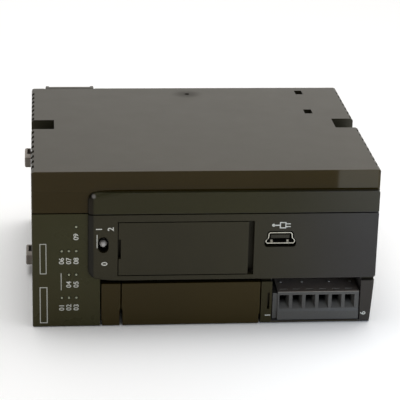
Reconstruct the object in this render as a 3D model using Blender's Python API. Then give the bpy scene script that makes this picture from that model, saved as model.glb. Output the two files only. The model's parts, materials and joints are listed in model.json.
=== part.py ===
"""Programmable controller CPU module, lying on its left side face.

Frame: origin at the centre of the footprint, on the surface it lies on.
+X runs from the module's top end to its bottom end (90 mm), +Y from the front
to the rear rail clip (80 mm), +Z from the left side face to the right (43 mm).
All sizes below are millimetres; MM turns them into metres.
"""

import math

import bmesh
import bpy
from mathutils import Matrix, Vector

MM = 0.001

# ---------------------------------------------------------------- driving sizes
LENGTH = 90.0  # module height, along X
WIDTH = 43.0  # module width, along Z
DEPTH = 80.0  # front panel to rail clip, along Y
HX = LENGTH / 2
Y_PANEL = -DEPTH / 2  # face of the raised front panel
PANEL_RAISE = 1.3
Y_FRONT = Y_PANEL + PANEL_RAISE  # main front face
BODY_DEPTH = 73.7
Y_REAR = Y_FRONT + BODY_DEPTH  # rear edge of the two shells
Y_BASE = DEPTH / 2  # rear face of the rail base
WALL = 2.0
GAP = 0.3  # gap between neighbouring pieces
PART_Z = 31.7  # parting plane of the two shells

PANEL_X0 = -30.6  # left edge of the raised panel
PANEL_Z0, PANEL_Z1 = 13.4, 37.6
PANEL_R, PANEL_R_LOW = 2.2, 2.8  # left corners of the panel
PANEL_EDGE, PANEL_EASE = 1.6, 1.6  # its left edge: width on the face, and width over depth
GROOVE_Z0, GROOVE_Z1 = 12.0, 13.5  # shadow groove under the panel

VENT_W = 1.8
VENTS_FRONT = [Y_FRONT + 4.4 + 4.0 * i for i in range(8)]
VENTS_REAR = [Y_FRONT + 44.4 + 3.87 * i for i in range(7)]
NOTCH_Y0, NOTCH_Y1, NOTCH_L, NOTCH_D = Y_FRONT + 35.0, Y_FRONT + 42.9, 6.2, 4.4

RAIL_W = 35.6  # rail channel, along X
RAIL_FLOOR = Y_REAR + 0.3

DOOR_X0, DOOR_X1, DOOR_Z0, DOOR_Z1 = -23.0, 12.4, 14.7, 29.7  # opening for the card cover
HINGE_X, HINGE_Y = 10.3, Y_PANEL + 1.6
RECESS_Y = -37.0  # floor behind the card cover
CARD_X = -5.2  # centre of the card slot

SWITCH_X, SWITCH_Z, SWITCH_PIVOT_Y = -26.7, 23.4, Y_PANEL + 5.4
USB_X, USB_Z0, USB_Z1 = 19.2, 23.3, 26.45
LEDS = [(-37.35, 8.2), (-35.5, 8.2), (-33.6, 8.2), (-35.5, 14.7), (-33.6, 14.7),
        (-37.35, 21.3), (-35.5, 21.3), (-33.6, 21.3), (-33.6, 28.0)]

PLUG_PITCH, PLUG_N, PLUG_XC = 3.5, 6, 29.9
PLUG_X0, PLUG_X1 = 19.4, 41.1
PLUG_Z0, PLUG_Z1 = 1.0, 8.9
PLUG_Y0, PLUG_Y1 = Y_FRONT, Y_FRONT + 16.7
SCREW_BACK = 5.6  # clamp screws, on the plug's left-hand side, behind its face
WAYS = [PLUG_XC + PLUG_PITCH * (i - (PLUG_N - 1) / 2) for i in range(PLUG_N)]

TERM_X0, TERM_X1, TERM_Z0, TERM_Z1, TERM_Y1 = 17.8, 41.4, 0.7, 13.2, -18.4
BAY_X0, BAY_X1, BAY_Z1, BAY_Y1 = -27.4, 14.95, 13.1, -19.5
STRIP_X1 = -22.1  # narrow strip beside the option bay cover

HOOK_Z = (4.5, 33.4)
HOOK_Y = Y_FRONT + 39.0
HOOK_TRAVEL = 3.0
BOARD_Z0, BOARD_Z1 = 21.6, 23.2
POWER_Z0, POWER_Z1 = 5.2, 6.8
BOSSES = [(-38.6, -12.0), (38.6, -12.0), (-38.6, 26.0), (38.6, 26.0)]

# ---------------------------------------------------------------- clean start
for old in list(bpy.data.objects):
    bpy.data.objects.remove(old, do_unlink=True)

MATERIALS = {}


def material(name, colour, roughness, metallic=0.0):
    if name not in MATERIALS:
        m = bpy.data.materials.new(name)
        m.use_nodes = True
        shader = m.node_tree.nodes["Principled BSDF"]
        shader.inputs["Base Color"].default_value = (*colour, 1.0)
        shader.inputs["Roughness"].default_value = roughness
        shader.inputs["Metallic"].default_value = metallic
        MATERIALS[name] = m
    return MATERIALS[name]


# ---------------------------------------------------------------- primitives
def box(x0, x1, y0, y1, z0, z1, r=0.0, pick=None, segments=2):
    """A box; r rounds the edges whose middle and direction pass pick(mid, direction)."""
    bm = bmesh.new()
    bmesh.ops.create_cube(bm, size=1.0)
    bmesh.ops.scale(bm, vec=Vector((x1 - x0, y1 - y0, z1 - z0)) * MM, verts=bm.verts)
    bmesh.ops.translate(bm, vec=Vector((x0 + x1, y0 + y1, z0 + z1)) * MM / 2, verts=bm.verts)
    if r:
        chosen = []
        for e in bm.edges:
            mid = (e.verts[0].co + e.verts[1].co) / 2 / MM
            way = (e.verts[1].co - e.verts[0].co).normalized()
            if pick is None or pick(mid, way):
                chosen.append(e)
        bmesh.ops.bevel(bm, geom=chosen, offset=r * MM, segments=segments, profile=0.5, affect="EDGES", clamp_overlap=True)
    return bm


def prism(points, axis, low, high, r=0.0, pick=None, segments=3):
    """A closed outline extruded along an axis. points are in the two other axes, in X, Y, Z order; r rounds picked edges."""
    bm = bmesh.new()
    order = {"X": (1, 2, 0), "Y": (0, 2, 1), "Z": (0, 1, 2)}[axis]
    ring = []
    for a, b in points:
        co = [0.0, 0.0, 0.0]
        co[order[0]], co[order[1]], co[order[2]] = a * MM, b * MM, low * MM
        ring.append(bm.verts.new(co))
    face = bm.faces.new(ring)
    grown = bmesh.ops.extrude_face_region(bm, geom=[face])
    shift = [0.0, 0.0, 0.0]
    shift[order[2]] = (high - low) * MM
    bmesh.ops.translate(bm, vec=shift, verts=[v for v in grown["geom"] if isinstance(v, bmesh.types.BMVert)])
    bmesh.ops.recalc_face_normals(bm, faces=bm.faces)
    if r:
        chosen = []
        for e in bm.edges:
            mid = (e.verts[0].co + e.verts[1].co) / 2 / MM
            if pick(mid, (e.verts[1].co - e.verts[0].co).normalized()):
                chosen.append(e)
        bmesh.ops.bevel(bm, geom=chosen, offset=r * MM, segments=segments, profile=0.5, affect="EDGES", clamp_overlap=True)
    return bm


def eased(points, low, high, r, pick, ratio):
    """A plate along Y; its picked front edges are rounded ratio times wider on the face than they are deep."""
    bm = prism(points, "Y", low, low + (high - low) * ratio, r, pick, 4)
    for v in bm.verts:
        v.co.y = low * MM + (v.co.y - low * MM) / ratio
    return bm


def circle(a, b, r, n=16, start=0.0):
    return [(a + r * math.cos(start + 2 * math.pi * i / n), b + r * math.sin(start + 2 * math.pi * i / n)) for i in range(n)]


def rod(axis, a, b, r, low, high, n=16):
    return prism(circle(a, b, r, n, math.pi / n), axis, low, high)


def rounded(x0, x1, z0, z1, radii, steps=3):
    """Outline of a rectangle whose corners (x0z0, x1z0, x1z1, x0z1) have their own radii."""
    corners = [(x0, z0, 1, 1, 180), (x1, z0, -1, 1, 270), (x1, z1, -1, -1, 0), (x0, z1, 1, -1, 90)]
    out = []
    for (x, z, sx, sz, start), r in zip(corners, radii):
        if r <= 0:
            out.append((x, z))
            continue
        for k in range(steps + 1):
            t = math.radians(start + 90 * k / steps)
            out.append((x + sx * r + r * math.cos(t), z + sz * r + r * math.sin(t)))
    return out


def obround(a, b, half_a, half_b, n=5):
    """A slot outline with round ends along the second axis."""
    r, run = half_a, half_b - half_a
    top = [(a + r * math.cos(math.pi * k / n), b + run + r * math.sin(math.pi * k / n)) for k in range(n + 1)]
    low = [(a + r * math.cos(math.pi + math.pi * k / n), b - run + r * math.sin(math.pi + math.pi * k / n)) for k in range(n + 1)]
    return top + low


def gathered(name, shapes):
    """One mesh object from several primitives."""
    mesh = bpy.data.meshes.new(name)
    whole = bmesh.new()
    for bm in shapes:
        part = bpy.data.meshes.new("part")
        bm.to_mesh(part)
        bm.free()
        whole.from_mesh(part)
        bpy.data.meshes.remove(part)
    whole.to_mesh(mesh)
    whole.free()
    ob = bpy.data.objects.new(name, mesh)
    bpy.context.scene.collection.objects.link(ob)
    return ob


def reach(bm):
    return [(min(v.co[i] for v in bm.verts), max(v.co[i] for v in bm.verts)) for i in range(3)]


def apart(a, b):
    return any(a[i][1] < b[i][0] - 1e-6 or b[i][1] < a[i][0] - 1e-6 for i in range(3))


def boolean(ob, operation, shapes):
    """Joins or cuts the shapes. Shapes that meet each other go into separate steps."""
    groups = []
    for bm in shapes:
        here = reach(bm)
        for group in groups:
            if all(apart(here, other) for other, _ in group):
                group.append((here, bm))
                break
        else:
            groups.append([(here, bm)])
    tools = []
    for group in groups:
        tool = gathered(f"{ob.name}.{operation.lower()}{len(ob.modifiers)}", [bm for _, bm in group])
        tool.hide_render = True
        tool.display_type = "WIRE"
        tool.parent = ob.parent
        m = ob.modifiers.new(operation.title(), "BOOLEAN")
        m.operation = operation
        m.object = tool
        m.solver = "EXACT"
        tools.append(tool)
    return tools


def make(name, base, mat, join=(), cut=(), smooth=None, pivot=None):
    """A node: base primitive, primitives joined to it, then primitives cut from it."""
    ob = gathered(name, [base])
    ob.data.materials.append(mat)
    tools = []
    for shape in join:
        tools += boolean(ob, "UNION", [shape])
    if cut:
        tools += boolean(ob, "DIFFERENCE", list(cut))
    if smooth:
        ob.data.shade_smooth()
        ob.data.set_sharp_from_angle(angle=math.radians(smooth))
    if pivot:
        # The object's origin goes to the joint's axis, and its mesh stays where it was.
        at = Vector(pivot) * MM
        for o in [ob, *tools]:
            o.data.transform(Matrix.Translation(-at))
            o.location = at
    return ob


CASE = material("case_black", (0.032, 0.026, 0.015), 0.42)
PANEL = material("panel_black", (0.036, 0.034, 0.027), 0.40)
DARK = material("dark_plastic", (0.012, 0.012, 0.011), 0.5)
WINDOW = material("indicator_film", (0.030, 0.029, 0.018), 0.3)
CLEAR = material("light_guide", (0.75, 0.75, 0.68), 0.2)
GREY = material("hook_grey", (0.36, 0.33, 0.29), 0.5)
KNOB = material("knob_grey", (0.30, 0.29, 0.28), 0.35)
STEEL = material("nickel_steel", (0.72, 0.69, 0.62), 0.28, 1.0)
PCB = material("circuit_board", (0.02, 0.12, 0.05), 0.45)
CHIP = material("chip_black", (0.02, 0.02, 0.022), 0.5)
BLOCK = material("terminal_grey", (0.055, 0.056, 0.06), 0.45)
GREEN = material("connector_grey", (0.10, 0.10, 0.11), 0.5)
COPPER = material("ferrite", (0.05, 0.05, 0.055), 0.6)
CAN = material("capacitor_can", (0.55, 0.56, 0.58), 0.3, 1.0)


# ---------------------------------------------------------------- shells
def vent_grooves(side, z0, z1, top):
    """Slits through an end wall; with top they also notch the edge of the side face."""
    shapes = []
    inner, outer = side * (HX - WALL - 0.6), side * (HX + 0.6)
    lo, hi = min(inner, outer), max(inner, outer)
    edge = side * (HX - 0.75)
    elo, ehi = min(edge, outer), max(edge, outer)
    for y in VENTS_FRONT + VENTS_REAR:
        a, b = y - VENT_W / 2, y + VENT_W / 2
        if top:
            # stepped outline: deep below, shallow where it runs out over the edge
            xs = sorted((inner, edge, outer))
            if side > 0:
                outline = [(inner, z0), (outer, z0), (outer, z1 + 1), (edge, z1 + 1), (edge, z1 - 2.6), (inner, z1 - 2.6)]
            else:
                outline = [(outer, z0), (inner, z0), (inner, z1 - 2.6), (edge, z1 - 2.6), (edge, z1 + 1), (outer, z1 + 1)]
            shapes.append(prism(outline, "Y", a, b))
        else:
            shapes.append(box(lo, hi, a, b, z0, z1))
    return shapes


def hook_slot(side, z):
    y0 = HOOK_Y + 0.4 - HOOK_TRAVEL
    y1 = HOOK_Y + 3.4 + 0.4
    a, b = side * (HX - WALL - 1), side * (HX + 1)
    return box(min(a, b), max(a, b), y0, y1, z - 1.0, z + 1.0)


edge_pick_right = lambda mid, way: (mid.z > WIDTH - 0.1 and mid.y > Y_FRONT + 0.1) or abs(way.z) > 0.9
left_edge = lambda mid, way: mid.y < Y_PANEL + 0.01 and mid.x < PANEL_X0 + 2.5
right_join = [
    eased(rounded(PANEL_X0, HX - 0.25, PART_Z + GAP / 2, PANEL_Z1, (0, 0, 0.5, PANEL_R), 4), Y_PANEL, Y_FRONT + 1.0, PANEL_EDGE, left_edge, PANEL_EASE),
    box(-HX + 1.0, -HX + NOTCH_L + 1.6, NOTCH_Y0 - 1.4, NOTCH_Y1 + 1.4, WIDTH - NOTCH_D - 1.5, WIDTH - 1.0),
    box(HX - NOTCH_L - 1.6, HX - 1.0, NOTCH_Y0 - 1.4, NOTCH_Y1 + 1.4, WIDTH - NOTCH_D - 1.5, WIDTH - 1.0),
]
right_cavity = box(-HX + WALL, HX - WALL, Y_FRONT + WALL, Y_REAR + 1, PART_Z - 1, WIDTH - WALL)
right_shell = make(
    "right_shell",
    box(-HX, HX, Y_FRONT, Y_REAR, PART_Z + GAP / 2, WIDTH, 0.7, edge_pick_right),
    CASE,
)
boolean(right_shell, "DIFFERENCE", [right_cavity])
for shape in right_join:
    boolean(right_shell, "UNION", [shape])
boolean(
    right_shell,
    "DIFFERENCE",
    vent_grooves(-1, 33.2, WIDTH, True)
    + vent_grooves(1, 33.2, WIDTH, True)
    + [hook_slot(-1, HOOK_Z[1]), hook_slot(1, HOOK_Z[1])]
    + [
        box(-HX - 1, -HX + NOTCH_L, NOTCH_Y0, NOTCH_Y1, WIDTH - NOTCH_D, WIDTH + 1),
        box(HX - NOTCH_L, HX + 1, NOTCH_Y0, NOTCH_Y1, WIDTH - NOTCH_D, WIDTH + 1),
        # two guide holes for a neighbour's pegs
        box(77.1 - 45, 79.2 - 45, Y_FRONT + 66.4, Y_FRONT + 70.0, WIDTH - WALL - 1, WIDTH + 1),
        box(77.1 - 45, 79.3 - 45, Y_FRONT + 47.9, Y_FRONT + 51.6, WIDTH - WALL - 1, WIDTH + 1),
        # gate mark of the moulding
        rod("Z", 0.1, Y_FRONT + 67.0, 0.7, WIDTH - 0.3, WIDTH + 1, 12),
        # relief for the bus connector cover at the rear edge
        box(-41.4, -26.5, Y_REAR - 0.9, Y_REAR + 1, WIDTH - WALL - 1, WIDTH + 1),
    ],
)

edge_pick_left = lambda mid, way: (mid.z < 0.1) or (abs(way.z) > 0.9)
left_shell = make(
    "left_shell",
    box(-HX, HX, Y_FRONT, Y_REAR, 0.0, PART_Z - GAP / 2, 0.7, edge_pick_left),
    CASE,
)
boolean(left_shell, "DIFFERENCE", [box(-HX + WALL, HX - WALL, Y_FRONT + WALL, Y_REAR + 1, WALL, PART_Z + 1)])
# option bay and terminal recess are boxes hanging off the front wall
boolean(left_shell, "UNION", [box(BAY_X0 - 1.3, 43.5, Y_FRONT + 1.0, -17.0, 1.0, 14.8)])
for bx, by in BOSSES:
    boolean(left_shell, "UNION", [rod("Z", bx, by, 2.4, 1.0, BOARD_Z0 - GAP, 12)])
for bx, by in ((-26.0, 20.0), (26.0, 20.0), (-26.0, -9.0), (26.0, -9.0)):
    boolean(left_shell, "UNION", [rod("Z", bx, by, 1.8, 1.0, POWER_Z0 - GAP, 12)])
# taper of the bottom end beside the terminals
taper = prism([(HX + 1, -1.0), (HX - 0.9 - 0.07, -1.0), (HX + 0.02, 13.4), (HX + 1, 13.4)], "Y", Y_FRONT - 1, -20.0)
boolean(
    left_shell,
    "DIFFERENCE",
    vent_grooves(-1, 9.0, 29.4, False)
    + vent_grooves(1, 16.4, 29.4, False)
    + [hook_slot(-1, HOOK_Z[0]), hook_slot(1, HOOK_Z[0])]
    + [rod("Z", bx, by, 1.3, 9.0, BOARD_Z0 + 1, 12) for bx, by in BOSSES]
    + [
        box(BAY_X0, BAY_X1, Y_FRONT - 1, BAY_Y1, -1.0, BAY_Z1),
        box(TERM_X0, TERM_X1, Y_FRONT - 1, TERM_Y1, TERM_Z0, TERM_Z1),
        taper,
        # latch slot beside the plug
        box(16.6, 17.2, Y_FRONT - 1, Y_FRONT + 1.5, 4.2, 8.8),
    ],
)
boolean(
    left_shell,
    "DIFFERENCE",
    [
        # shadow groove under the raised panel
        box(PANEL_X0 + 0.6, HX + 1, Y_FRONT - 1, Y_FRONT + 1.5, GROOVE_Z0, GROOVE_Z1 + 0.2),
        # window behind the front bezel
        box(-28.8, 41.0, Y_FRONT - 1, Y_FRONT + WALL + 0.5, 14.5, PART_Z + 1),
        # seat of the indicator panel, and the light guide behind it
        box(-HX - 1, PANEL_X0 + 1.7, Y_FRONT - 1, Y_FRONT + 1.2, -1, PART_Z + 1),
        box(-39.2, -32.0, Y_FRONT + 0.5, Y_FRONT + WALL + 1, 6.0, 29.6),
        # passage for the header's tail
        box(20.4, 40.4, TERM_Y1 - 1.0, -16.0, 1.9, 8.0),
        # passage for the option connector
        box(-12.0, 6.0, BAY_Y1 - 1.0, -16.0, 3.2, 8.6),
    ],
)
boolean(left_shell, "DIFFERENCE", [
    box(PANEL_X0 - 1.0, BAY_X0 + 0.02, Y_FRONT - 1, Y_FRONT + 1.2, -1, GROOVE_Z1 + 0.6),
    box(8.6, 12.6, Y_FRONT - 1, Y_FRONT + WALL + 0.4, PANEL_Z0 + 0.05, 15.6),
])

# ---------------------------------------------------------------- rear base with the rail channel
base = make("rear_base", box(-HX, HX, Y_REAR + GAP, Y_BASE, 0.4, 41.2, 0.6, lambda m, w: m.y > 39 or abs(w.y) > 0.9), CASE)
boolean(base, "UNION", [box(-HX + WALL + GAP, HX - WALL - GAP, Y_REAR - 2.6, Y_REAR + 1.5, WALL + GAP, 40.7)])
boolean(base, "DIFFERENCE", [
    box(-RAIL_W / 2, RAIL_W / 2, RAIL_FLOOR, Y_BASE + 1, -1, WIDTH),
    box(-RAIL_W / 2, -RAIL_W / 2 + 2.2, RAIL_FLOOR - 0.4, Y_BASE, -1, WIDTH),
    box(RAIL_W / 2 - 2.2, RAIL_W / 2, RAIL_FLOOR - 0.4, Y_BASE, -1, WIDTH),
    # bus connector pocket
    box(-41.3, -26.6, Y_REAR - 1.0, Y_BASE - 1.2, -1, WIDTH + 1),
    # guide of the rail lock
    box(RAIL_W / 2 - 1, HX + 1, 36.2, 38.7, 15.4, 27.6),
    # weight relief pockets at the rear
    box(-24.4, -20.2, 36.6, Y_BASE + 1, 4.0, 37.4),
    box(24.0, 41.6, 38.9, Y_BASE + 1, 30.4, 37.4),
    box(24.0, 41.6, 36.6, Y_BASE + 1, 4.0, 12.4),
])
boolean(base, "UNION", [prism([(-RAIL_W / 2 - 1, 36.5), (-RAIL_W / 2 + 1.9, 36.5), (-RAIL_W / 2 + 1.9, 37.3), (-RAIL_W / 2 + 1.0, 38.4), (-RAIL_W / 2 - 1, 38.4)], "Z", 2.0, 39.6)])

lock = make(
    "rail_lock_lever",
    prism([(RAIL_W / 2 - 1.9, 36.5), (HX - 0.4, 36.5), (HX - 0.4, 38.4), (RAIL_W / 2 - 1.0, 38.4), (RAIL_W / 2 - 1.9, 37.3)], "Z", 15.8, 27.2),
    GREY,
    cut=[box(36.6, 41.4, 35.0, 39.5, 19.2, 23.8)],
)

bus_left = make("bus_connector_left", box(-40.8, -27.1, Y_REAR + 0.2, Y_BASE - 1.7, 0.5, 9.0), DARK,
                cut=[box(-39.4, -28.5, 36.0, 37.4, -0.5, 6.0)])
bus_right = make("bus_connector_right", box(-39.6, -28.3, 35.9, 37.6, 28.4, 38.6), DARK,
                 cut=[box(-38.4, -29.5, 36.4, 37.1, 34.0, 39.6)])
bus_cover = make("bus_connector_cover", box(-41.0, -26.9, Y_REAR - 0.6, Y_BASE - 1.6, 27.0, 40.9, 0.4, lambda m, w: m.z > 40 and m.y > 38), CASE,
                 join=[box(-41.0, -26.9, Y_REAR - 0.6, Y_REAR + 1.3, 39.8, WIDTH, 0.3, lambda m, w: m.z > 42 and m.y > Y_REAR),
                       box(-40.9, -40.0, Y_REAR + 0.5, Y_REAR + 1.9, 39.9, WIDTH - 0.05),
                       box(-27.9, -27.0, Y_REAR + 0.5, Y_REAR + 1.9, 39.9, WIDTH - 0.05)],
                 cut=[box(-39.9, -28.0, Y_REAR + 0.5, 37.9, 26.0, 39.2)])

# ---------------------------------------------------------------- front bezel and card cover
def usb_outline(grow):
    """Mini-B outline, wide side down."""
    g = grow
    x, z0, z1 = USB_X, USB_Z0, USB_Z1
    half = [(3.85 + g, z0 + 0.4), (3.85 + g, z0 + 0.95), (3.25 + g, z0 + 1.5), (3.15 + g, z1 - 0.4 + g / 2), (2.75 + g / 2, z1 + g)]
    right = [(3.45 + g / 2, z0 - g)] + half
    pts = [(x + a, b) for a, b in right] + [(x - a, b) for a, b in reversed(right)]
    return pts


bezel = make(
    "front_bezel",
    eased(rounded(PANEL_X0, HX - 0.25, GROOVE_Z1, PART_Z - GAP / 2, (PANEL_R_LOW, 0.6, 0, 0), 4), Y_PANEL, Y_FRONT - 0.25, PANEL_EDGE, left_edge, PANEL_EASE),
    PANEL,
)
# rib that locates the bezel in the window of the shell, hinge ears, switch shroud
boolean(bezel, "UNION", [prism(rounded(-28.4, 40.6, 15.7, PART_Z - GAP / 2, (0, 0, 0, 0)), "Y", Y_FRONT - 0.5, Y_FRONT + 1.8)])
boolean(bezel, "UNION", [box(-24.2, 13.8, Y_FRONT - 0.5, RECESS_Y + 1.1, 15.1, PART_Z - GAP / 2)])
boolean(bezel, "DIFFERENCE", [box(DOOR_X0 - 0.6, DOOR_X1 + 0.6, Y_FRONT - 0.24, RECESS_Y, 14.9, 30.3)])
boolean(bezel, "DIFFERENCE", [box(CARD_X - 12.4, CARD_X + 12.4, RECESS_Y - 0.5, RECESS_Y + 2, BOARD_Z1 + 0.7, BOARD_Z1 + 3.2)])
boolean(bezel, "UNION", [box(9.0, 12.2, Y_FRONT - 0.6, Y_FRONT + 1.9, PANEL_Z0 + 0.3, DOOR_Z0)])
boolean(bezel, "UNION", [box(9.0, 13.2, Y_FRONT - 0.6, Y_FRONT + 1.9, DOOR_Z1, DOOR_Z1 + 1.5)])
boolean(bezel, "DIFFERENCE", [
    box(DOOR_X0, DOOR_X1, Y_PANEL - 1, Y_FRONT, DOOR_Z0, DOOR_Z1),
    prism(obround(SWITCH_X, SWITCH_Z, 1.4, 2.25), "Y", Y_PANEL - 1, Y_FRONT + 3),
    prism(usb_outline(0.32), "Y", Y_PANEL - 1, Y_FRONT + 3),
    prism(rounded(USB_X - 4.15, USB_X + 4.15, USB_Z0 - 0.95, USB_Z0 + 0.6, (0.7, 0.7, 0, 0), 2), "Y", Y_PANEL - 1, Y_FRONT + 3),
])
boolean(bezel, "DIFFERENCE", [
    rod("Z", HINGE_X, HINGE_Y, 0.75, PANEL_Z0 + 0.5, DOOR_Z0 + 1, 12),
    rod("Z", HINGE_X, HINGE_Y, 0.75, DOOR_Z1 - 1, DOOR_Z1 + 1.2, 12),
])

heel = [(HINGE_X + 0.6, Y_PANEL), (HINGE_X + 0.6, HINGE_Y)] + [
    (HINGE_X + 0.6 * math.cos(math.radians(a)), HINGE_Y + 0.6 * math.sin(math.radians(a))) for a in (30, 60, 90, 120, 150, 180)
] + [(HINGE_X - 0.6, Y_PANEL + 1.3), (DOOR_X0 + 0.25, Y_PANEL + 1.3), (DOOR_X0 + 0.25, Y_PANEL)]
cover = make(
    "sd_card_cover",
    prism(heel, "Z", DOOR_Z0 + 0.25, DOOR_Z1 - 0.25),
    PANEL,
    join=[rod("Z", HINGE_X, HINGE_Y, 0.5, DOOR_Z0 - 0.5, DOOR_Z1 + 0.5, 12)],
    cut=[box(DOOR_X0 - 1, DOOR_X0 + 0.85, Y_PANEL - 1, Y_PANEL + 3, 19.5, 24.9)],
    pivot=(HINGE_X, HINGE_Y, 22.2),
)

# ---------------------------------------------------------------- indicators
outline = [(-HX, 0.15), (BAY_X0 - 0.03, 0.15), (BAY_X0 - 0.03, GROOVE_Z1 + 0.3), (PANEL_X0 + 1.4, GROOVE_Z1 + 0.3),
           (PANEL_X0 + 1.4, PART_Z - GAP / 2), (-HX, PART_Z - GAP / 2)]
panel = make("indicator_panel", prism(outline, "Y", Y_FRONT, Y_FRONT + 0.9, 0.5, lambda mid, way: mid.x < -HX + 0.01 and mid.y < Y_FRONT + 0.01), WINDOW,
             cut=[rod("Y", x, z, 0.45, Y_FRONT - 1, Y_FRONT + 2, 12) for x, z in LEDS])
guide = make("indicator_light_guide", box(-38.6, -32.5, Y_FRONT + 1.3, Y_FRONT + 3.2, 6.9, 29.2), CLEAR,
             join=[rod("Y", x, z, 0.3, Y_FRONT + 0.02, Y_FRONT + 2.0, 10) for x, z in LEDS])

# ---------------------------------------------------------------- mode switch
switch_body = make("mode_switch_body", box(SWITCH_X - 2.4, SWITCH_X + 2.0, Y_PANEL + 3.4, Y_PANEL + 9.4, 18.9, BOARD_Z0 - 0.3), CHIP,
                   join=[box(SWITCH_X - 2.4, SWITCH_X + 2.0, Y_PANEL + 3.4, Y_PANEL + 7.4, 18.9, 27.9)],
                   cut=[box(SWITCH_X - 1.0, SWITCH_X + 1.0, Y_PANEL + 2, Y_PANEL + 6.9, 20.6, 26.2)])


def turned(axis_x, axis_z, profile, n=16):
    """A solid turned about a line along Y: profile is (radius, y) from the front pole to the rear."""
    bm = bmesh.new()
    rings = []
    for r, y in profile:
        if r < 1e-6:
            rings.append([bm.verts.new((axis_x * MM, y * MM, axis_z * MM))])
        else:
            rings.append([bm.verts.new(((axis_x + r * math.cos(2 * math.pi * i / n)) * MM, y * MM, (axis_z + r * math.sin(2 * math.pi * i / n)) * MM)) for i in range(n)])
    for a, b in zip(rings, rings[1:]):
        for i in range(n):
            j = (i + 1) % n
            if len(a) == 1:
                bm.faces.new((a[0], b[i], b[j]))
            elif len(b) == 1:
                bm.faces.new((a[i], b[0], a[j]))
            else:
                bm.faces.new((a[i], b[i], b[j], a[j]))
    bmesh.ops.recalc_face_normals(bm, faces=bm.faces)
    return bm


ball = [(0.0, Y_PANEL + 0.35)] + [(1.0 * math.sin(math.radians(a)), Y_PANEL + 1.35 - 1.0 * math.cos(math.radians(a))) for a in (22, 45, 68, 90, 112, 132)]
ball += [(0.62, Y_PANEL + 2.3), (0.62, Y_PANEL + 6.2), (0.0, Y_PANEL + 6.2)]
lever = make("mode_switch_lever", turned(SWITCH_X, SWITCH_Z, ball, 16), KNOB, smooth=40, pivot=(SWITCH_X, SWITCH_PIVOT_Y, SWITCH_Z))

# ---------------------------------------------------------------- USB socket
usb_shell = make("usb_shell", prism(usb_outline(0.0), "Y", Y_PANEL, Y_PANEL + 9.2), STEEL,
                 cut=[prism(usb_outline(-0.27), "Y", Y_PANEL - 1, Y_PANEL + 10)])
usb_core = make("usb_insulator", prism(usb_outline(-0.62), "Y", Y_PANEL + 6.2, Y_PANEL + 9.0), CHIP,
                join=[box(USB_X - 2.45, USB_X + 2.45, Y_PANEL + 0.5, Y_PANEL + 7.0, USB_Z0 + 1.35, USB_Z0 + 2.3)])

# ---------------------------------------------------------------- terminals
def funnel(x):
    """Wire entry: a square mouth that narrows towards the clamp."""
    bm = bmesh.new()
    y0, y1, y2 = PLUG_Y0 - 0.3, PLUG_Y0 + 2.5, PLUG_Y0 + 5.0
    mouth = (x - 1.35, x + 1.50, 3.55, 8.02)
    throat = (x - 1.15, x + 0.45, 5.9, 7.75)
    rings = []
    for (xa, xb, za, zb), y in ((mouth, y0), (throat, y1), (throat, y2)):
        rings.append([bm.verts.new((a * MM, y * MM, b * MM)) for a, b in ((xa, za), (xb, za), (xb, zb), (xa, zb))])
    bm.faces.new(rings[0])
    bm.faces.new(rings[-1][::-1])
    for low, high in zip(rings, rings[1:]):
        for i in range(4):
            j = (i + 1) % 4
            bm.faces.new((low[i], high[i], high[j], low[j]))
    bmesh.ops.recalc_face_normals(bm, faces=bm.faces)
    return bm


plug_profile = [(PLUG_Y0, PLUG_Z0), (PLUG_Y1 - 7.0, PLUG_Z0), (PLUG_Y1 - 7.0, PLUG_Z0 + 1.5), (PLUG_Y1, PLUG_Z0 + 1.5), (PLUG_Y1, PLUG_Z1 - 1.6),
                (PLUG_Y1 - 7.0, PLUG_Z1 - 1.6), (PLUG_Y1 - 7.0, PLUG_Z1), (PLUG_Y0 + 0.3, PLUG_Z1), (PLUG_Y0 + 0.3, PLUG_Z0 + 3.0), (PLUG_Y0, PLUG_Z0 + 2.3)]
plug = make(
    "terminal_plug",
    prism(plug_profile, "X", PLUG_X0, PLUG_X1),
    BLOCK,
    join=[box(PLUG_X0 - 1.3, PLUG_X0 + 0.5, PLUG_Y0 + 0.6, PLUG_Y0 + 6.0, PLUG_Z0 + 0.15, 8.4)]
    + [rod("Z", x, PLUG_Y0 + 6.6, 0.35, PLUG_Z1 - 0.5, PLUG_Z1 + 0.2, 10) for x in (20.9, 26.6, 33.9, 39.6)],
    cut=[funnel(x) for x in WAYS]
    + [rod("Z", x, PLUG_Y0 + SCREW_BACK, 1.35, PLUG_Z0 - 1, PLUG_Z0 + 2.4, 12) for x in WAYS]
    + [box(x - 0.55, x + 0.55, PLUG_Y1 - 5.0, PLUG_Y1 + 1, 3.7, 6.0) for x in WAYS]
    + [box(x - 1.0, x + 1.0, PLUG_Y0 + 1.5, PLUG_Y0 + 2.2, PLUG_Z1 - 0.2, PLUG_Z1 + 1) for x in WAYS],
    pivot=(PLUG_XC, PLUG_Y0, 5.0),
)
for i, x in enumerate(WAYS, 1):
    make(f"terminal_screw_{i}", rod("Z", x, PLUG_Y0 + SCREW_BACK, 1.1, PLUG_Z0 + 0.35, PLUG_Z0 + 2.1, 16), STEEL,
         cut=[box(x - 0.22, x + 0.22, PLUG_Y0 + SCREW_BACK - 2, PLUG_Y0 + SCREW_BACK + 2, PLUG_Z0, PLUG_Z0 + 0.95)],
         pivot=(x, PLUG_Y0 + SCREW_BACK, PLUG_Z0 + 0.35))

header = make("terminal_header", box(PLUG_X0 + 0.2, PLUG_X1 - 0.3, PLUG_Y1 - 6.6, TERM_Y1 - 0.3, 1.3, 9.0), DARK,
              join=[box(21.0, 39.8, TERM_Y1 - 1.0, -15.4, 2.3, 7.6)],
              cut=[box(PLUG_X0 - 1, PLUG_X1 + 1, PLUG_Y1 - 8, PLUG_Y1 + 0.5, 2.1, 7.7)])

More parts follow.
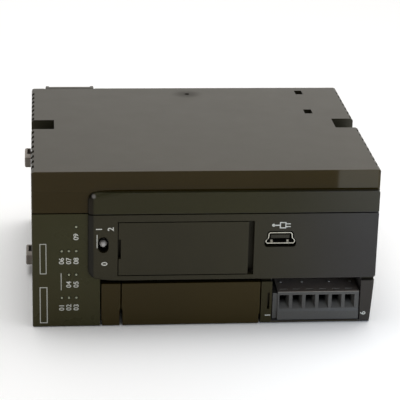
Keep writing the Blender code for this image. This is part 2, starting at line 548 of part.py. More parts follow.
# ---------------------------------------------------------------- option bay covers
def bay_piece(name, x0, x1, relief_low, relief_high, mat):
    """Front plate and the flange that wraps round onto the left side face, 16 mm deep."""
    shape = [(Y_FRONT, 0.15), (BAY_Y1 - 0.3, 0.15), (BAY_Y1 - 0.3, 1.6), (Y_FRONT + 1.7, 1.6), (Y_FRONT + 1.7, GROOVE_Z0), (Y_FRONT, GROOVE_Z0)]
    cuts = []
    if relief_low:
        cuts.append(box(x0 - 1, x0 + 0.25, Y_FRONT - 1, BAY_Y1 + 1, -1, relief_low))
    if relief_high:
        cuts.append(box(x1 - 0.25, x1 + 1, Y_FRONT - 1, BAY_Y1 + 1, -1, relief_high))
    return make(name, prism(shape, "X", x0, x1), mat, cut=cuts)


bay_piece("option_bay_strip", BAY_X0 + 0.3, STRIP_X1, 1.6, 4.6, CASE)
bay_piece("option_bay_cover", STRIP_X1 + 0.3, BAY_X1 - 0.3, 4.6, 2.8, CASE)
make("option_connector", box(-11.4, 5.4, BAY_Y1 - 4.0, -15.2, 3.6, 8.2), DARK,
     cut=[box(-10.2, 4.2, BAY_Y1 - 5.0, BAY_Y1 - 0.6, 4.7, 7.1)])

# ---------------------------------------------------------------- joining hooks
for side, end in ((-1, "top"), (1, "bottom")):
    for z, which in zip(HOOK_Z, ("left", "right")):
        def sx(a, b):
            return (min(side * a, side * b), max(side * a, side * b))

        cap = sx(HX + 0.25, HX + 1.9)
        stem = sx(HX - WALL - 0.5, HX + 0.6)
        inner = sx(HX - WALL - 1.4, HX - WALL - 0.3)
        hook = make(
            f"joining_hook_{end}_{which}",
            box(*cap, HOOK_Y - 4.0, HOOK_Y + 4.0, z - 1.4, z + 1.4, 0.35, lambda m, w: abs(m.x) > HX + 1.5),
            GREY,
            join=[
                box(*stem, HOOK_Y + 0.7, HOOK_Y + 3.4, z - 0.7, z + 0.7),
                box(*inner, HOOK_Y + 0.5, HOOK_Y + 3.6, z - 1.6, z + 1.6),
            ],
            cut=[box(*sx(HX + 0.1, HX + 1.2), HOOK_Y - 0.9, HOOK_Y + 3.3, z + 0.05, z + 2.0)],
            pivot=(side * HX, HOOK_Y, z),
        )

# ---------------------------------------------------------------- boards and what they carry
make("main_board", box(-42.2, 42.2, Y_FRONT + 3.6, 30.4, BOARD_Z0, BOARD_Z1), PCB,
     cut=[rod("Z", x, y, 1.5, BOARD_Z0 - 1, BOARD_Z1 + 1, 12) for x, y in BOSSES]
     + [box(SWITCH_X - 2.8, SWITCH_X + 2.4, Y_FRONT + 2, Y_PANEL + 9.8, BOARD_Z0 - 1, BOARD_Z1 + 1),
        box(-39.4, -31.8, Y_FRONT + 2, Y_FRONT + 4.0, BOARD_Z0 - 1, BOARD_Z1 + 1),
        box(USB_X - 4.4, USB_X + 4.4, Y_FRONT + 2, Y_PANEL + 9.6, BOARD_Z0 - 1, BOARD_Z1 + 1)])
for n, (x, y) in enumerate(BOSSES, 1):
    make(f"board_screw_{n}", rod("Z", x, y, 2.2, BOARD_Z1 + 0.2, BOARD_Z1 + 1.8, 16), STEEL,
         join=[rod("Z", x, y, 1.05, 12.0, BOARD_Z1 + 1.0, 12)],
         cut=[box(x - 1.5, x + 1.5, y - 0.3, y + 0.3, BOARD_Z1 + 1.0, BOARD_Z1 + 3),
              box(x - 0.3, x + 0.3, y - 1.5, y + 1.5, BOARD_Z1 + 1.0, BOARD_Z1 + 3)])
make("sd_card_socket", box(CARD_X - 13.4, CARD_X + 13.4, Y_PANEL + 5.0, Y_PANEL + 33.0, BOARD_Z1 + 0.2, BOARD_Z1 + 3.5), STEEL,
     cut=[box(CARD_X - 12.3, CARD_X + 12.3, Y_PANEL + 3, Y_PANEL + 32.2, BOARD_Z1 + 0.8, BOARD_Z1 + 3.1)])
make("processor_chip", box(-9.0, 9.0, 8.0, 26.0, BOARD_Z1 + 0.15, BOARD_Z1 + 1.9), CHIP)
make("memory_chip", box(14.0, 24.0, 12.0, 26.0, BOARD_Z1 + 0.15, BOARD_Z1 + 1.3), CHIP)
make("coin_cell_holder", rod("Z", -26.0, 12.0, 11.4, BOARD_Z1 + 0.2, BOARD_Z1 + 4.2, 24), GREEN,
     cut=[rod("Z", -26.0, 12.0, 10.3, BOARD_Z1 + 1.0, BOARD_Z1 + 5, 24)])
make("coin_cell", rod("Z", -26.0, 12.0, 10.0, BOARD_Z1 + 1.2, BOARD_Z1 + 4.4, 24), CAN)
make("power_board", box(-35.0, 35.0, -15.0, 29.0, POWER_Z0, POWER_Z1), PCB)
make("board_link_connector", box(-6.0, 14.0, 12.0, 17.0, POWER_Z1 + 0.2, BOARD_Z0 - 0.2), DARK)
make("bulk_capacitor", rod("Z", 26.0, 20.0, 4.0, POWER_Z1 + 0.2, POWER_Z1 + 12.5, 20), CAN)
make("power_inductor", box(14.0, 24.0, -8.0, 2.0, POWER_Z1 + 0.2, POWER_Z1 + 5.4, 1.0, lambda m, w: abs(w.z) > 0.9), COPPER)
make("isolation_transformer", box(-22.0, -9.0, -4.0, 9.0, POWER_Z1 + 0.2, POWER_Z1 + 10.5), COPPER,
     join=[box(-23.5, -7.5, -1.5, 6.5, POWER_Z1 + 2.0, POWER_Z1 + 8.6)])
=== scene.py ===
"""Looks of the programmable controller module: materials, soft edges, printed legends and small fittings."""

import json
import math

import bmesh
import bpy
from mathutils import Matrix, Vector


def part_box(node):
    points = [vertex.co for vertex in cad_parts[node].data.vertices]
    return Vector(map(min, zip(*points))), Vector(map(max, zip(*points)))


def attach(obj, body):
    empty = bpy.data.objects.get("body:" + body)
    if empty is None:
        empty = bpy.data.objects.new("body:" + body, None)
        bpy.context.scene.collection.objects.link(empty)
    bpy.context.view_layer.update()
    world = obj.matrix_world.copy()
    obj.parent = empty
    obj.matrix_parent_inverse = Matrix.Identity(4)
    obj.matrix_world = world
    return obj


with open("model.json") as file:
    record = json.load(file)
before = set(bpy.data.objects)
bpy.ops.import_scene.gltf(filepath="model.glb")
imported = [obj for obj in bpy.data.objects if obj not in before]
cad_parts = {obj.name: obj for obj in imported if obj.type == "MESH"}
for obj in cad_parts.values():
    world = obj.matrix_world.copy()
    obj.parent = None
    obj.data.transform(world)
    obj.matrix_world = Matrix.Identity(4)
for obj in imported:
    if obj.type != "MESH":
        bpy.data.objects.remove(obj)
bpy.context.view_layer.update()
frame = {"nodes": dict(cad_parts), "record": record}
MM = 0.001
scene = bpy.context.scene


def node_box(name):
    """Corners of a CAD node in millimetres."""
    low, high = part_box(name)
    return [v / MM for v in low], [v / MM for v in high]


Y_PANEL = node_box("front_bezel")[0][1]  # face of the raised panel
Y_MAIN = node_box("indicator_panel")[0][1]  # main front face
X_PANEL = node_box("front_bezel")[0][0]
Z_TOP = node_box("right_shell")[1][2]
PLUG_TOP = node_box("terminal_plug")[1][2]
HOOK_MID = sum(node_box("joining_hook_top_right")[i][1] for i in (0, 1)) / 2

# ---------------------------------------------------------------- camera
camera_data = bpy.data.cameras.new("camera")
camera = bpy.data.objects.new("camera", camera_data)
scene.collection.objects.link(camera)
ELEV, AZIM, ROLL = math.radians(20.51), math.radians(-5.64), math.radians(-1.44)
turn = Matrix.Rotation(AZIM, 3, "Z") @ Matrix.Rotation(-ELEV, 3, "X") @ Matrix.Rotation(ROLL, 3, "Y")
right, forward, up = turn.col[0], turn.col[1], turn.col[2]
look = Matrix((right, up, -forward)).transposed().to_4x4()
look.translation = Vector((3.12 - 45.0, -405.07 + Y_MAIN, 144.36 + Z_TOP)) * MM
camera.matrix_world = look
camera_data.sensor_width = 36.0
camera_data.lens = 1692.7 / 400 * 36.0
camera_data.clip_start = 0.01
camera_data.clip_end = 20.0
scene.camera = camera

scene.view_settings.view_transform = "Standard"
scene.view_settings.look = "None"


# ---------------------------------------------------------------- materials
class Graph:
    """Short way to build one material's nodes."""

    def __init__(self, name):
        self.mat = bpy.data.materials.new(name)
        self.mat.use_nodes = True
        self.tree = self.mat.node_tree
        self.tree.nodes.clear()
        self.out = self.add("ShaderNodeOutputMaterial")
        self.bsdf = self.add("ShaderNodeBsdfPrincipled")
        self.link(self.bsdf.outputs[0], self.out.inputs[0])
        self.where = self.add("ShaderNodeTexCoord").outputs["Object"]

    def add(self, kind, **settings):
        node = self.tree.nodes.new(kind)
        for key, value in settings.items():
            setattr(node, key, value)
        return node

    def link(self, a, b):
        self.tree.links.new(a, b)

    def value(self, thing, socket):
        if isinstance(thing, (int, float)):
            socket.default_value = thing
        elif isinstance(thing, (tuple, list)):
            socket.default_value = tuple(thing) if len(thing) == 4 or socket.type == "VECTOR" else (*thing, 1.0)
        else:
            self.link(thing, socket)

    def noise(self, size_mm, detail=3.0, roughness=0.55, stretch=None):
        t = self.add("ShaderNodeTexNoise")
        t.inputs["Scale"].default_value = 1.0 / (size_mm * MM)
        t.inputs["Detail"].default_value = detail
        t.inputs["Roughness"].default_value = roughness
        where = self.where
        if stretch:
            m = self.add("ShaderNodeMapping")
            m.inputs["Scale"].default_value = stretch
            self.link(where, m.inputs["Vector"])
            where = m.outputs[0]
        self.link(where, t.inputs["Vector"])
        return t.outputs["Fac"]

    def span(self, value, low, high, to_low=0.0, to_high=1.0, smooth=False):
        m = self.add("ShaderNodeMapRange")
        if smooth:
            m.interpolation_type = "SMOOTHSTEP"
        self.link(value, m.inputs["Value"])
        for key, v in (("From Min", low), ("From Max", high), ("To Min", to_low), ("To Max", to_high)):
            m.inputs[key].default_value = v
        return m.outputs["Result"]

    def math(self, op, a, b=0.0):
        m = self.add("ShaderNodeMath", operation=op)
        self.value(a, m.inputs[0])
        self.value(b, m.inputs[1])
        return m.outputs[0]

    def mix(self, fac, a, b, blend="MIX"):
        m = self.add("ShaderNodeMix", data_type="RGBA", blend_type=blend)
        self.value(fac, m.inputs[0])
        self.value(a, m.inputs[6])
        self.value(b, m.inputs[7])
        return m.outputs[2]

    def level(self, value):
        """A grey from one number, to multiply a colour with."""
        c = self.add("ShaderNodeCombineColor")
        for i in range(3):
            self.link(value, c.inputs[i])
        return c.outputs[0]

    def edges(self, radius_mm=0.35, low=0.80, high=0.985):
        """1 on outer edges, 0 on flats."""
        b = self.add("ShaderNodeBevel", samples=4)
        b.inputs["Radius"].default_value = radius_mm * MM
        g = self.add("ShaderNodeNewGeometry")
        d = self.add("ShaderNodeVectorMath", operation="DOT_PRODUCT")
        self.link(b.outputs[0], d.inputs[0])
        self.link(g.outputs["True Normal"], d.inputs[1])
        return self.span(d.outputs["Value"], low, high, 1.0, 0.0)

    def axes(self):
        s = self.add("ShaderNodeSeparateXYZ")
        self.link(self.where, s.inputs[0])
        return s.outputs

    def bump(self, height, strength, distance_mm, normal=None):
        b = self.add("ShaderNodeBump")
        b.inputs["Strength"].default_value = strength
        b.inputs["Distance"].default_value = distance_mm * MM
        self.link(height, b.inputs["Height"])
        if normal is not None:
            self.link(normal, b.inputs["Normal"])
        return b.outputs[0]


def moulded(name, colour, rough, grain=0.35, grain_size=0.22, mottling=0.08, patchy=0.05, wear=0.0, spec=0.5, tint=(1, 1, 1),
            metallic=0.0, second=None, extra=None):
    """Moulded plastic: spark-eroded grain, slow colour drift, roughness patches and rubbed edges.

    second is a second colour that the drift leans to; extra(graph, colour, rough) may change both.
    """
    g = Graph(name)
    g.bsdf.inputs["Metallic"].default_value = metallic
    g.bsdf.inputs["Specular IOR Level"].default_value = spec
    g.bsdf.inputs["Specular Tint"].default_value = (*tint, 1)
    drift = g.noise(24.0, 2.0)
    cloud = g.noise(7.0, 3.0)
    fine = g.noise(grain_size, 2.0)
    low = [c * (1 - mottling) for c in colour]
    high = second or [min(1.0, c * (1 + mottling)) for c in colour]
    base = g.mix(g.span(drift, 0.35, 0.65), low, high)
    base = g.mix(1.0, base, g.level(g.span(fine, 0.3, 0.7, 0.85, 1.15)), "MULTIPLY")
    roughness = g.span(cloud, 0.3, 0.7, rough - patchy, rough + patchy)
    if wear:
        rubbed = g.math("MULTIPLY", g.edges(), g.span(g.noise(2.2, 4.0), 0.42, 0.66))
        rubbed = g.math("MULTIPLY", rubbed, wear)
        base = g.mix(rubbed, base, [min(1.0, c * 1.8 + 0.03) for c in colour])
    smooth = 0.0
    if extra:
        base, roughness, *rest = extra(g, base, roughness)
        smooth = rest[0] if rest else 0.0
    g.link(base, g.bsdf.inputs["Base Color"])
    g.link(roughness, g.bsdf.inputs["Roughness"])
    if grain:
        height = fine if smooth == 0.0 else g.math("MULTIPLY", fine, g.math("SUBTRACT", 1.0, smooth))
        g.link(g.bump(height, grain, 0.02), g.bsdf.inputs["Normal"])
    return g.mat


def edge_shade_and_highlight(g, base, x, y, z):
    """Painted shade on the panel's eased left edge, with a painted highlight on its top corner."""
    raised = g.math("LESS_THAN", y, (Y_MAIN - 0.02) * MM)
    edge = g.math("MULTIPLY", g.span(x, (X_PANEL + 1.75) * MM, (X_PANEL + 1.1) * MM, 0.0, 1.0, True), raised)
    # painted shade: near-black on the eased left edge
    base = g.mix(g.math("MULTIPLY", edge, 0.93), base, (0.002, 0.0017, 0.0012))
    # painted highlight: a pale round mark on the top-left corner, where light glints
    dx, dz = g.math("SUBTRACT", x, (X_PANEL + 1.45) * MM), g.math("SUBTRACT", z, 36.7 * MM)
    far = g.math("SQRT", g.math("ADD", g.math("MULTIPLY", dx, dx), g.math("MULTIPLY", dz, dz)))
    corner_highlight = g.math("MULTIPLY", g.span(far, 0.75 * MM, 0.15 * MM, 0.0, 1.0, True), raised)
    return g.mix(g.math("MULTIPLY", corner_highlight, 0.8), base, (0.20, 0.19, 0.18))


def bezel_extra(g, base, roughness):
    """Olive towards the switch, greyer towards the far end as painted sheen of light from the right, then the
    painted edge shade and highlight.
    """
    x, y, z = g.axes()
    # painted sheen: the colour greys towards the far end, where light falls from the right
    far = g.span(x, 8.0 * MM, 44.0 * MM, 0.0, 1.0, True)
    base = g.mix(far, base, g.mix(1.0, base, (1.06, 1.10, 2.3), "MULTIPLY"))
    return edge_shade_and_highlight(g, base, x, y, z), roughness


def case_extra(g, base, roughness):
    """Brown-black front; painted sheen turning the other faces greyer and the deeper walls paler; matte raised
    strip, greying towards the far end as painted sheen; polished band over it; painted shade and highlight on the
    eased edge; painted light next to the plug and on the terminal recess walls; and painted shade round the gate
    mark.
    """
    x, y, z = g.axes()
    front = g.math("LESS_THAN", y, (Y_MAIN + 0.75) * MM)
    # painted sheen: faces away from the front turned greyer
    base = g.mix(front, g.mix(1.0, base, (1.10, 1.42, 6.8), "MULTIPLY"), base)
    wall_sheen = g.math("MULTIPLY", g.math("GREATER_THAN", y, (Y_MAIN + 2.0) * MM), g.math("LESS_THAN", z, (Z_TOP - 0.3) * MM))
    # painted sheen: faces more than 2 mm behind the front, under the top, paler still
    base = g.mix(wall_sheen, base, g.mix(1.0, base, (1.5, 1.65, 2.1), "MULTIPLY"))
    strip = g.math("MULTIPLY", g.math("LESS_THAN", y, (Y_MAIN - 0.04) * MM), g.math("LESS_THAN", z, 37.65 * MM))
    # the strip's greyer tint is its own tone; the extra greying towards the far end is painted sheen of light
    # from the right
    end = g.span(x, 8.0 * MM, 44.0 * MM, 0.0, 1.0, True)
    base = g.mix(strip, base, g.mix(1.0, base, g.mix(end, (1.03, 1.55, 5.9), (1.06, 1.56, 10.5)), "MULTIPLY"))
    base = edge_shade_and_highlight(g, base, x, y, z)
    # painted sheen: paler grey on the front faces right of the plug
    plug_side_sheen = g.math("MULTIPLY", g.math("GREATER_THAN", x, 40.9 * MM), g.math("LESS_THAN", z, 13.2 * MM))
    base = g.mix(g.math("MULTIPLY", plug_side_sheen, front), base, (0.027, 0.025, 0.024))
    near = g.math("MULTIPLY", g.math("MULTIPLY", g.math("GREATER_THAN", x, 14.4 * MM), g.math("LESS_THAN", x, 18.6 * MM)), g.math("LESS_THAN", z, 13.2 * MM))
    base = g.mix(g.math("MULTIPLY", near, front), base, (0.0185, 0.0165, 0.0055))
    # painted light: the terminal recess walls made paler, as if lit
    recess = g.math("MULTIPLY", g.math("GREATER_THAN", x, 17.6 * MM), g.math("LESS_THAN", x, 41.6 * MM))
    recess = g.math("MULTIPLY", recess, g.math("MULTIPLY", g.math("GREATER_THAN", z, 0.5 * MM), g.math("LESS_THAN", z, 13.3 * MM)))
    recess = g.math("MULTIPLY", recess, g.math("MULTIPLY", g.math("GREATER_THAN", y, (Y_MAIN + 0.05) * MM), g.math("LESS_THAN", y, -18.2 * MM)))
    base = g.mix(recess, base, (0.085, 0.080, 0.078))
    band = g.math("MULTIPLY", g.math("LESS_THAN", y, (Y_MAIN + 0.12) * MM), g.math("GREATER_THAN", z, 37.65 * MM))
    roughness = g.math("MULTIPLY", roughness, g.span(band, 0.0, 1.0, 1.0, 0.13))
    # painted shade round the gate mark: an ellipse on the side face, drawn out along X
    dx = g.math("DIVIDE", g.math("SUBTRACT", x, 0.1 * MM), 5.2 * MM)
    dy = g.math("DIVIDE", g.math("SUBTRACT", y, (Y_MAIN + 67.0) * MM), 4.6 * MM)
    far = g.math("SQRT", g.math("ADD", g.math("MULTIPLY", dx, dx), g.math("MULTIPLY", dy, dy)))
    upper = g.math("GREATER_THAN", z, (Z_TOP - 0.4) * MM)
    gate_shade = g.math("MULTIPLY", g.span(far, 1.0, 0.1, 0.0, 1.0, True), upper)
    base = g.mix(g.math("MULTIPLY", gate_shade, 0.5), base, (0.006, 0.006, 0.006))
    roughness = g.math("ADD", roughness, g.math("MULTIPLY", gate_shade, 0.16))
    return base, roughness, band


def plug_extra(g, base, roughness):
    """Painted light making the top paler, light pips and dashes on it, and painted shade deep in the wire
    entries.
    """
    x, y, z = g.axes()
    lit_top = g.math("GREATER_THAN", z, (PLUG_TOP - 0.35) * MM)
    # painted light: the top face paler, as if lit
    base = g.mix(lit_top, base, g.mix(1.0, base, (2.5, 2.15, 2.0), "MULTIPLY"))
    pip = g.math("GREATER_THAN", z, (PLUG_TOP - 0.12) * MM)
    base = g.mix(pip, base, (0.42, 0.41, 0.37))
    dash = g.math("MULTIPLY", lit_top, g.math("LESS_THAN", z, (PLUG_TOP - 0.23) * MM))
    base = g.mix(dash, base, (0.22, 0.20, 0.17))
    # painted shade: near-black deep in the wire entries
    deep = g.span(y, (Y_MAIN + 1.5) * MM, (Y_MAIN + 2.3) * MM)
    entry_shade = g.math("MULTIPLY", deep, g.math("LESS_THAN", z, 7.9 * MM))
    entry_shade = g.math("MULTIPLY", entry_shade, g.math("GREATER_THAN", z, 4.2 * MM))
    base = g.mix(entry_shade, base, (0.006, 0.006, 0.005))
    return base, roughness


def hook_extra(g, base, roughness):
    """Grey mouldings with painted shade in the pockets."""
    x, y, z = g.axes()
    away = g.math("ABSOLUTE", x)
    pocket = g.math("MULTIPLY", g.math("LESS_THAN", away, 46.2 * MM), g.math("GREATER_THAN", away, 45.0 * MM))
    pocket = g.math("MULTIPLY", pocket, g.math("MULTIPLY", g.math("GREATER_THAN", y, (HOOK_MID + 0.42) * MM), g.math("LESS_THAN", y, (HOOK_MID + 3.28) * MM)))
    # painted shade: pocket faces near-black
    base = g.mix(pocket, base, (0.012, 0.011, 0.009))
    return base, roughness


M = {
    "case": moulded("case_plastic", (0.0195, 0.0130, 0.0014), 0.36, mottling=0.05, patchy=0.012, wear=0.10, spec=0.22, tint=(1.0, 0.87, 0.68), extra=case_extra),
    "bezel": moulded("bezel_plastic", (0.0212, 0.0184, 0.0086), 0.42, patchy=0.03, wear=0.18, spec=0.24, tint=(1.0, 0.96, 0.84), extra=bezel_extra),
    "film": moulded("indicator_film", (0.0305, 0.0255, 0.0080), 0.30, grain=0.12, spec=0.22, tint=(1.0, 0.97, 0.76), second=(0.0270, 0.0255, 0.0085)),
    "dark": moulded("connector_black", (0.012, 0.012, 0.011), 0.5),
    "clear": moulded("light_guide", (0.26, 0.27, 0.18), 0.22, grain=0.0),
    "hook": moulded("hook_grey", (0.22, 0.19, 0.16), 0.5, wear=0.1, extra=hook_extra),
    "knob": moulded("knob_grey", (0.36, 0.345, 0.33), 0.3, grain=0.1),
    "nickel": moulded("nickel_plate", (0.46, 0.44, 0.37), 0.32, grain=0.1, grain_size=0.4, metallic=1.0),
    "board": moulded("circuit_board", (0.02, 0.10, 0.045), 0.4, grain_size=0.6),
    "chip": moulded("chip_epoxy", (0.026, 0.025, 0.018), 0.5),
    "terminal": moulded("terminal_grey", (0.068, 0.066, 0.061), 0.42, wear=0.15, spec=0.3, tint=(1.0, 0.98, 0.96), extra=plug_extra),
    "holder": moulded("holder_plastic", (0.10, 0.10, 0.11), 0.5),
    "can": moulded("aluminium_can", (0.60, 0.60, 0.62), 0.3, grain=0.05, metallic=1.0),
    "ferrite": moulded("ferrite", (0.05, 0.05, 0.055), 0.6),
    "ink": moulded("printed_ink", (0.52, 0.52, 0.47), 0.5, grain=0.2, grain_size=0.12, mottling=0.12),
    "core": moulded("socket_core", (0.018, 0.0145, 0.0050), 0.45, grain=0.2, spec=0.3),
    "bay": moulded("bay_cover_plastic", (0.0235, 0.0160, 0.0020), 0.36, mottling=0.05, patchy=0.012, wear=0.10, spec=0.22, tint=(1.0, 0.87, 0.68)),
    "gold": moulded("contact_gold", (0.83, 0.62, 0.28), 0.25, grain=0.05, metallic=1.0),
}
SLOT_OF = {s["node"]: s["material_slot"] for s in frame["record"]["subparts"]}
MAT_OF = {"case": "case", "bezel": "bezel", "dark": "dark", "indicator_film": "film", "light_guide": "clear", "hook": "hook", "knob": "knob",
          "nickel": "nickel", "board": "board", "chip": "chip", "terminal": "terminal", "holder": "holder", "ferrite": "ferrite", "can": "can"}
for name, ob in frame["nodes"].items():
    mat = M[MAT_OF[SLOT_OF[name]]]
    if not ob.data.materials:
        ob.data.materials.append(mat)
    for i in range(len(ob.material_slots)):
        ob.material_slots[i].material = mat


frame["nodes"]["usb_insulator"].material_slots[0].material = M["core"]
for name in ("option_bay_cover", "option_bay_strip"):
    frame["nodes"][name].material_slots[0].material = M["bay"]


def soften(name, width, segments=2, angle=40.0, flat_first=True):
    """Small moulded radii on a CAD node, by modifiers only."""
    ob = frame["nodes"][name]
    weld = ob.modifiers.new("Weld", "WELD")
    weld.merge_threshold = 0.002 * MM
    if flat_first:
        flat = ob.modifiers.new("Flat", "DECIMATE")
        flat.decimate_type = "DISSOLVE"
        flat.angle_limit = math.radians(0.5)
    bevel = ob.modifiers.new("Edge", "BEVEL")
    bevel.width = width * MM
    bevel.segments = segments
    bevel.limit_method = "ANGLE"
    bevel.angle_limit = math.radians(angle)
    bevel.harden_normals = True
    bevel.use_clamp_overlap = True


for name, width in (("right_shell", 0.16), ("left_shell", 0.14), ("front_bezel", 0.16), ("sd_card_cover", 0.14), ("terminal_plug", 0.10),
                    ("rear_base", 0.2), ("option_bay_cover", 0.14), ("option_bay_strip", 0.12), ("bus_connector_cover", 0.2),
                    ("indicator_panel", 0.08), ("usb_shell", 0.06)):
    soften(name, width, flat_first=name not in ("terminal_plug", "left_shell"))


# ---------------------------------------------------------------- pieces made here
def piece(name, bm, mat, body):
    mesh = bpy.data.meshes.new(name)
    bmesh.ops.recalc_face_normals(bm, faces=bm.faces)
    bm.to_mesh(mesh)
    bm.free()
    mesh.materials.append(mat)
    ob = bpy.data.objects.new(name, mesh)
    scene.collection.objects.link(ob)
    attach(ob, body)
    return ob


def slab(bm, x0, x1, z0, z1, y, thick=0.02):
    """A thin printed bar on a face that looks along -Y."""
    lo, hi = Vector((x0, y - thick, z0)) * MM, Vector((x1, y + 0.01, z1)) * MM
    vs = [bm.verts.new((a, b, c)) for a in (lo.x, hi.x) for b in (lo.y, hi.y) for c in (lo.z, hi.z)]
    for f in ((0, 1, 3, 2), (4, 6, 7, 5), (0, 4, 5, 1), (2, 3, 7, 6), (0, 2, 6, 4), (1, 5, 7, 3)):
        bm.faces.new([vs[i] for i in f])


def disc(bm, x, z, r, y, thick=0.02, n=16):
    rings = [[bm.verts.new(((x + r * math.cos(2 * math.pi * i / n)) * MM, yy * MM, (z + r * math.sin(2 * math.pi * i / n)) * MM)) for i in range(n)] for yy in (y - thick, y + 0.01)]
    bm.faces.new(rings[0])
    bm.faces.new(rings[1][::-1])
    for i in range(n):
        j = (i + 1) % n
        bm.faces.new((rings[0][i], rings[1][i], rings[1][j], rings[0][j]))


def numerals(bm, text, x, z, height, y, weight=0.0, spacing=1.0):
    """Figures that read along +Z with their tops towards -X, centred on (x, z)."""
    curve = bpy.data.curves.new("figures", "FONT")
    curve.body = text
    curve.size = height / 0.73 * MM
    curve.space_character = spacing
    curve.offset = weight * MM
    curve.extrude = 0.012 * MM
    curve.align_x = "CENTER"
    curve.align_y = "CENTER"
    curve.resolution_u = 4
    ob = bpy.data.objects.new("figures", curve)
    scene.collection.objects.link(ob)
    bpy.context.view_layer.update()
    mesh = bpy.data.meshes.new_from_object(ob.evaluated_get(bpy.context.evaluated_depsgraph_get()))
    bpy.data.objects.remove(ob, do_unlink=True)
    place = Matrix(((0, -1, 0, x * MM), (0, 0, -1, (y - 0.006) * MM), (1, 0, 0, z * MM), (0, 0, 0, 1)))
    mesh.transform(place)
    bm.from_mesh(mesh)
    bpy.data.meshes.remove(mesh)


X0 = -45.0
LEDS = [(7.65, 8.2), (9.5, 8.2), (11.4, 8.2), (9.5, 14.7), (11.4, 14.7), (7.65, 21.3), (9.5, 21.3), (11.4, 21.3), (11.4, 28.0)]
bm = bmesh.new()
for i, (x, z) in enumerate(LEDS, 1):
    numerals(bm, "%02d" % i, X0 + x, z - 2.7, 1.35, Y_MAIN, 0.02)
# two blank write-on fields in outline
for x0, x1, z0, z1, line in ((1.9, 3.9, 1.1, 11.3, 0.2), (2.0, 3.7, 15.0, 23.4, 0.16)):
    slab(bm, X0 + x0, X0 + x1, z0, z0 + line, Y_MAIN)
    slab(bm, X0 + x0, X0 + x1, z1 - line, z1, Y_MAIN)
    slab(bm, X0 + x0, X0 + x0 + line, z0 + line, z1 - line, Y_MAIN)
    slab(bm, X0 + x1 - line, X0 + x1, z0 + line, z1 - line, Y_MAIN)
slab(bm, X0 + 7.4, X0 + 7.55, 10.4, 15.2, Y_MAIN)
piece("indicator_legend", bm, M["ink"], "case")

bm = bmesh.new()
numerals(bm, "0", X0 + 18.7, 18.2, 1.6, Y_PANEL, 0.03)
numerals(bm, "1", X0 + 17.3, 27.8, 1.6, Y_PANEL, 0.03)
numerals(bm, "2", X0 + 20.3, 27.8, 1.6, Y_PANEL, 0.03)
slab(bm, X0 + 16.62, X0 + 16.82, 22.6, 26.3, Y_PANEL)
# plain plug sign over the socket
c, mid = X0 + 64.5, 28.4
slab(bm, c - 2.2, c - 0.6, mid - 0.15, mid + 0.15, Y_PANEL)
slab(bm, c - 0.6, c + 1.1, mid + 0.60, mid + 0.86, Y_PANEL)
slab(bm, c - 0.6, c + 1.1, mid - 0.86, mid - 0.60, Y_PANEL)
slab(bm, c - 0.6, c - 0.32, mid - 0.60, mid + 0.60, Y_PANEL)
slab(bm, c + 0.84, c + 1.1, mid - 0.60, mid + 0.60, Y_PANEL)
slab(bm, c + 1.1, c + 2.25, mid + 0.26, mid + 0.50, Y_PANEL)
slab(bm, c + 1.1, c + 2.25, mid - 0.50, mid - 0.26, Y_PANEL)
disc(bm, c - 2.2, mid, 0.42, Y_PANEL)
piece("panel_legend", bm, M["ink"], "case")

# two sprung contacts on the lower wall of the socket
lo, hi = node_box("usb_shell")
mid_x, bm = (lo[0] + hi[0]) / 2, bmesh.new()
for x in (-2.25, 1.95):
    ring = []
    for k, (y, z) in enumerate(((0.45, 0.30), (0.75, 0.72), (1.2, 0.78), (3.6, 0.32))):
        ring.append([bm.verts.new(((mid_x + x + dx) * MM, (lo[1] + y) * MM, (lo[2] + z + dz) * MM)) for dx, dz in ((-0.3, 0), (0.3, 0), (0.3, 0.12), (-0.3, 0.12))])
    bm.faces.new(ring[0])
    bm.faces.new(ring[-1][::-1])
    for a, b in zip(ring, ring[1:]):
        for i in range(4):
            j = (i + 1) % 4
            bm.faces.new((a[i], b[i], b[j], a[j]))
piece("usb_springs", bm, M["nickel"], "case")

bm = bmesh.new()
numerals(bm, "1", X0 + 61.9, 2.4, 1.5, Y_MAIN, 0.03)
numerals(bm, "6", X0 + 87.4, 2.6, 1.5, Y_MAIN, 0.03)
piece("terminal_legend", bm, M["ink"], "case")

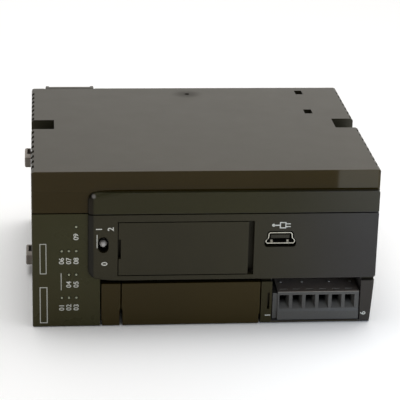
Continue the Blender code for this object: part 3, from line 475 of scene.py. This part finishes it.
# ---------------------------------------------------------------- stage and light
floor_mesh = bpy.data.meshes.new("floor")
bm = bmesh.new()
bmesh.ops.create_grid(bm, x_segments=1, y_segments=1, size=3.0)
bm.to_mesh(floor_mesh)
bm.free()
floor = bpy.data.objects.new("floor", floor_mesh)
floor.location.z = -0.00005
scene.collection.objects.link(floor)
floor_mat = bpy.data.materials.new("floor")
floor_mat.use_nodes = True
floor_mat.node_tree.nodes["Principled BSDF"].inputs["Base Color"].default_value = (0.97, 0.97, 0.97, 1)
floor_mat.node_tree.nodes["Principled BSDF"].inputs["Roughness"].default_value = 0.8
floor_mesh.materials.append(floor_mat)

world = bpy.data.worlds.new("world")
scene.world = world
world.use_nodes = True
wt = world.node_tree
background = wt.nodes["Background"]
background.inputs["Color"].default_value = (1.0, 0.985, 0.965, 1)
coord = wt.nodes.new("ShaderNodeTexCoord")
split = wt.nodes.new("ShaderNodeSeparateXYZ")
wt.links.new(coord.outputs["Generated"], split.inputs[0])
rise = wt.nodes.new("ShaderNodeMapRange")
rise.interpolation_type = "SMOOTHSTEP"
for key, v in (("From Min", -0.5), ("From Max", 0.6), ("To Min", 0.45), ("To Max", 1.2)):
    rise.inputs[key].default_value = v
wt.links.new(split.outputs["Y"], rise.inputs["Value"])
side = wt.nodes.new("ShaderNodeMapRange")
side.interpolation_type = "SMOOTHSTEP"
for key, v in (("From Min", -0.95), ("From Max", 0.6), ("To Min", 0.30), ("To Max", 1.17)):
    side.inputs[key].default_value = v
wt.links.new(split.outputs["X"], side.inputs["Value"])
both = wt.nodes.new("ShaderNodeMath")
both.operation = "MULTIPLY"
wt.links.new(rise.outputs[0], both.inputs[0])
wt.links.new(side.outputs[0], both.inputs[1])
wt.links.new(both.outputs[0], background.inputs["Strength"])


def area_light(name, power, size, place, target, colour=(1, 1, 1)):
    data = bpy.data.lights.new(name, "AREA")
    data.shape = "SQUARE"
    data.size = size
    data.energy = power
    data.color = colour
    ob = bpy.data.objects.new(name, data)
    ob.location = place
    ob.rotation_euler = (Vector(target) - Vector(place)).to_track_quat("-Z", "Y").to_euler()
    scene.collection.objects.link(ob)
    return ob


area_light("overhead", 3.4, 0.6, (-0.05, 0.05, 0.8), (0, 0, 0))
# low card at the front right, whose edge shows in the polished band
card = area_light("card", 0.110, 0.2, (0.150, -0.125, 0.030), (0.150, 0.875, 0.030), (0.66, 0.80, 1.0))
card.data.shape = "RECTANGLE"
card.data.size_y = 0.06
card.visible_camera = False
